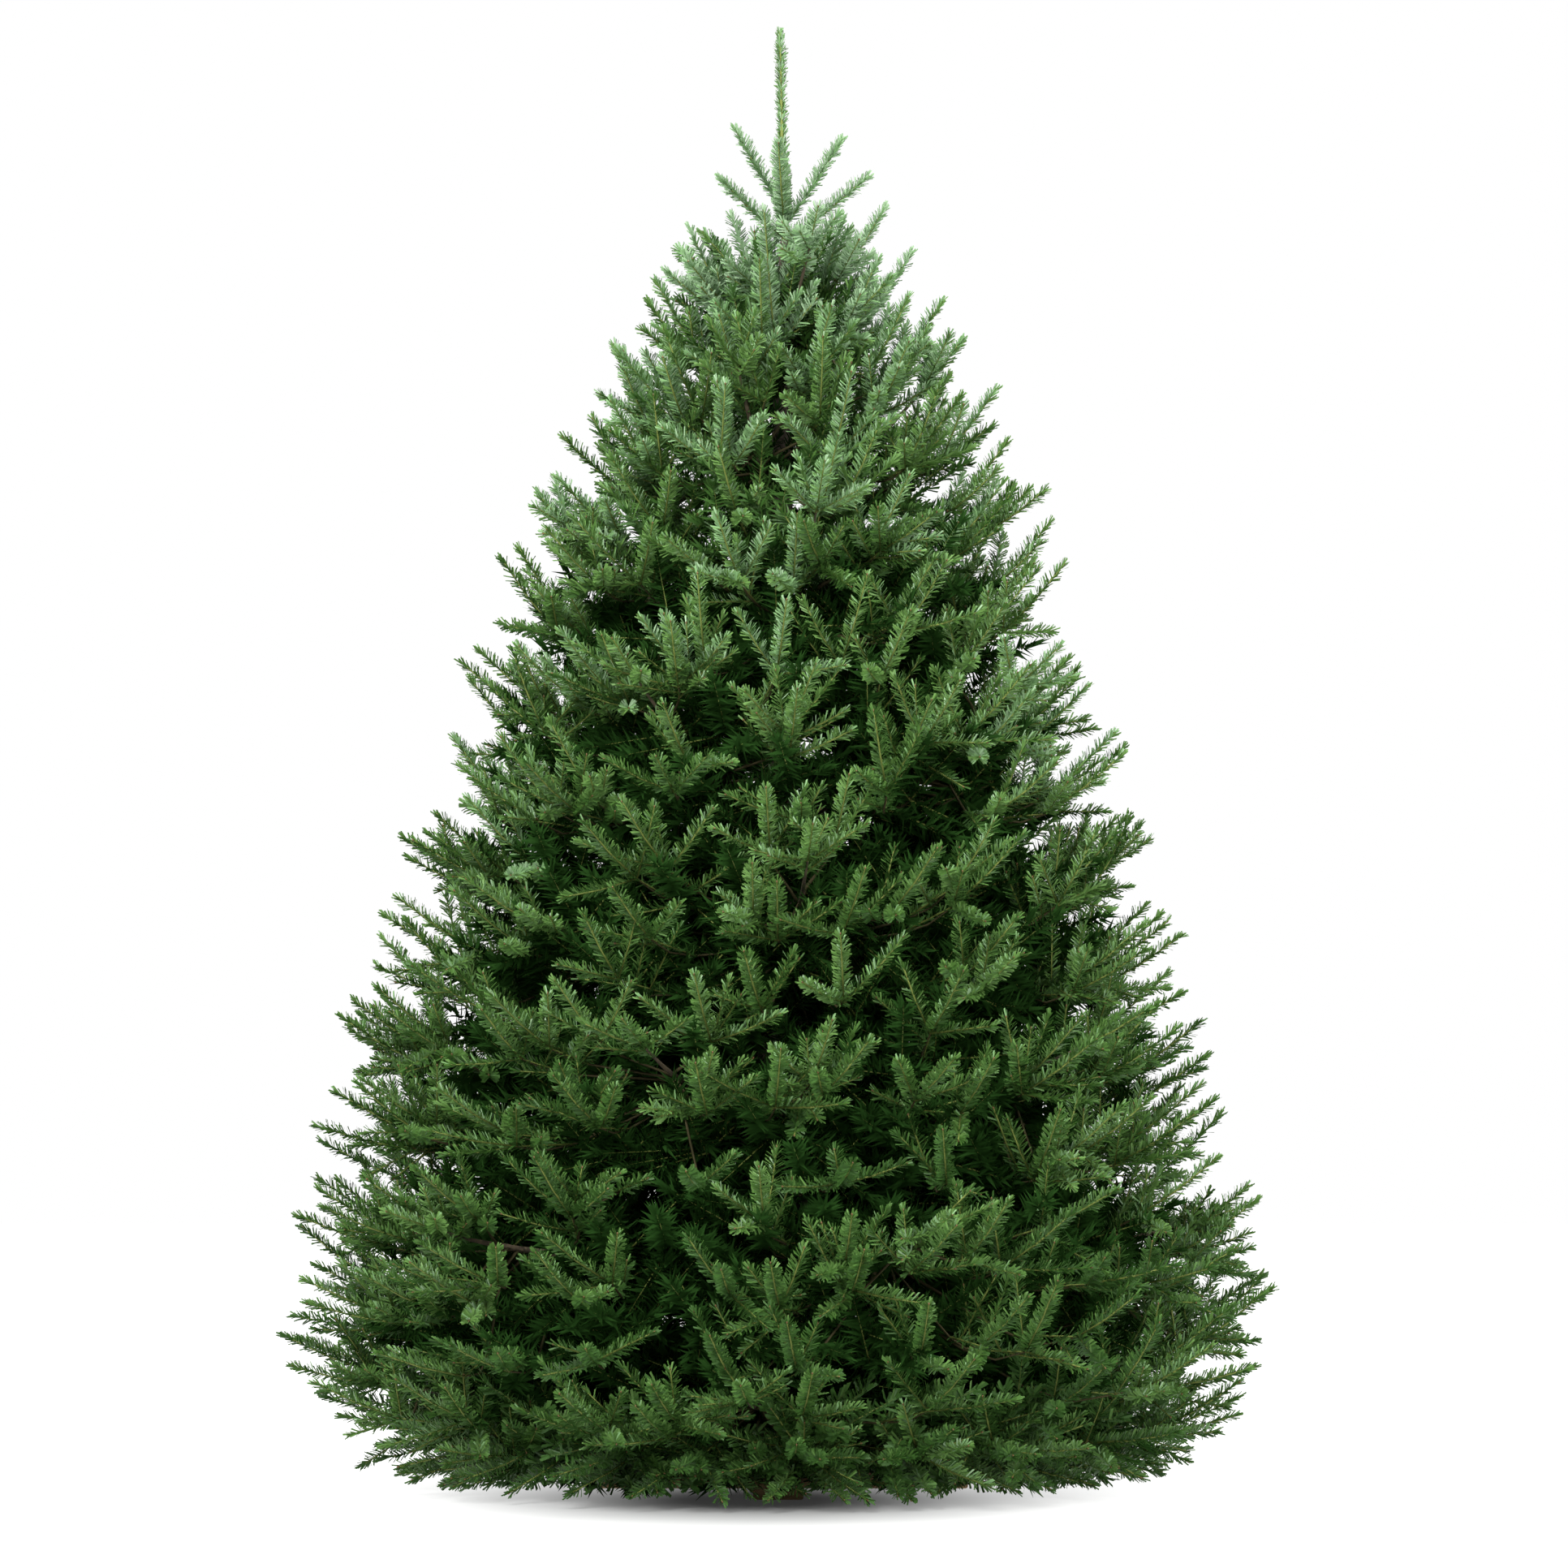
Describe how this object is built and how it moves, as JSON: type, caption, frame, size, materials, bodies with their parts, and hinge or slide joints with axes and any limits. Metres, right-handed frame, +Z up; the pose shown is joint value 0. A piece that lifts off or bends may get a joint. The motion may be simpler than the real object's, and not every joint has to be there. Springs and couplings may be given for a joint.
{
  "type": "christmas tree",
  "caption": "Cut fir Christmas tree: a full cone of dense needled shoots down to the floor, with an upright leader, in a plain wooden stand of crossed boards.",
  "frame": {"origin": "on the floor, at the middle of the underside of the crossed-board stand", "axes": "+Z up along the trunk, -Y towards the front of the picture, +X to the picture's right"},
  "size_m": [1.3755, 1.3803, 2.1],
  "materials": {
    "bark": "rough grey-brown bark",
    "limb": "rough brown bark of boughs and twigs",
    "needles": "deep green needles with a bluish bloom",
    "timber": "plain planed softwood"
  },
  "bodies": {
    "root": {"trunk": "bark", "needles_1_1": "needles", "bough_1_1": "limb", "needles_1_2": "needles", "bough_1_2": "limb", "needles_1_3": "needles", "bough_1_3": "limb", "needles_1_4": "needles", "bough_1_4": "limb", "needles_1_5": "needles", "bough_1_5": "limb", "needles_2_1": "needles", "bough_2_1": "limb", "needles_2_2": "needles", "bough_2_2": "limb", "needles_2_3": "needles", "bough_2_3": "limb", "needles_2_4": "needles", "bough_2_4": "limb", "needles_2_5": "needles", "bough_2_5": "limb", "needles_3_1": "needles", "bough_3_1": "limb", "needles_3_2": "needles", "bough_3_2": "limb", "needles_3_3": "needles", "bough_3_3": "limb", "needles_3_4": "needles", "bough_3_4": "limb", "needles_3_5": "needles", "bough_3_5": "limb", "needles_4_1": "needles", "bough_4_1": "limb", "needles_4_2": "needles", "bough_4_2": "limb", "needles_4_3": "needles", "bough_4_3": "limb", "needles_4_4": "needles", "bough_4_4": "limb", "needles_5_1": "needles", "needles_5_2": "needles", "needles_5_3": "needles", "needles_5_4": "needles", "needles_6_1": "needles", "needles_6_2": "needles", "needles_6_3": "needles", "needles_6_4": "needles", "needles_7_1": "needles", "needles_7_2": "needles", "needles_7_3": "needles", "needles_8_1": "needles", "needles_8_2": "needles", "needles_8_3": "needles", "leader": "needles", "stand_board_lower": "timber", "stand_board_upper": "timber", "stand_brace_1": "timber", "stand_brace_2": "timber", "stand_brace_3": "timber", "stand_brace_4": "timber"}
  },
  "joints": []
}
